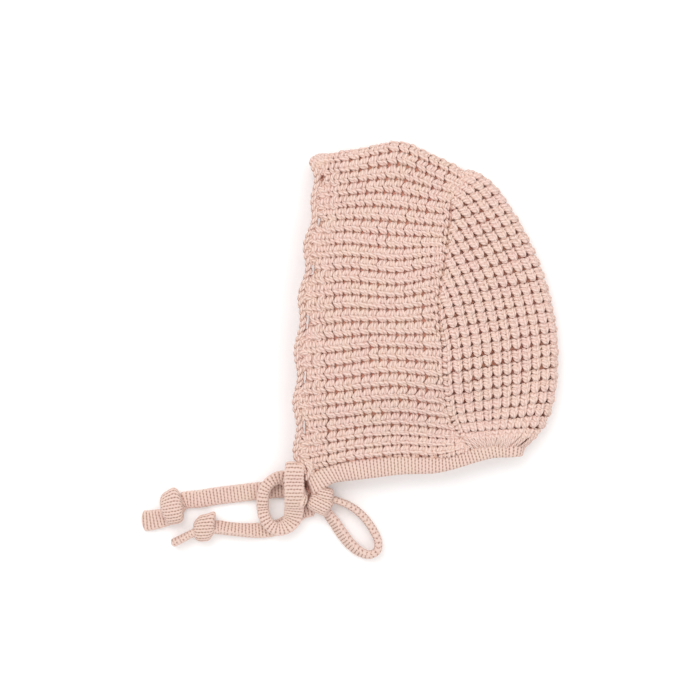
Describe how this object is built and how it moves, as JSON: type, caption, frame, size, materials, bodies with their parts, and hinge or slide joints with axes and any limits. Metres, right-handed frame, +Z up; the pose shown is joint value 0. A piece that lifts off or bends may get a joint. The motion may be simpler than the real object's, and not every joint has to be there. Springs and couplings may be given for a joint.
{
  "type": "knitted baby bonnet",
  "caption": "Chunky knit baby bonnet lying folded on its side: ribbed front panel, domed back panel, scalloped face edging and a ribbed neck band, with ties in a bow.",
  "frame": {"origin": "under the middle of the bonnet's outline as it lies folded on its side, ties left out, on the surface it lies on", "axes": "+Z up from the surface, +Y from the neck to the crown, -X out of the face opening"},
  "size_m": [0.2139, 0.2139, 0.0317],
  "materials": {
    "knit": "matte chunky wool knit",
    "edging": "matte crocheted wool",
    "band": "matte fine rib knit",
    "tie": "matte knitted tape"
  },
  "bodies": {
    "root": {"front_panel": "knit", "back_panel": "knit", "face_edging": "edging", "neck_band": "band", "bow_knot": "tie", "left_loop": "tie", "right_loop": "tie", "upper_tail": "tie", "lower_tail": "tie", "upper_end_knot": "tie", "lower_end_knot": "tie"}
  },
  "joints": []
}
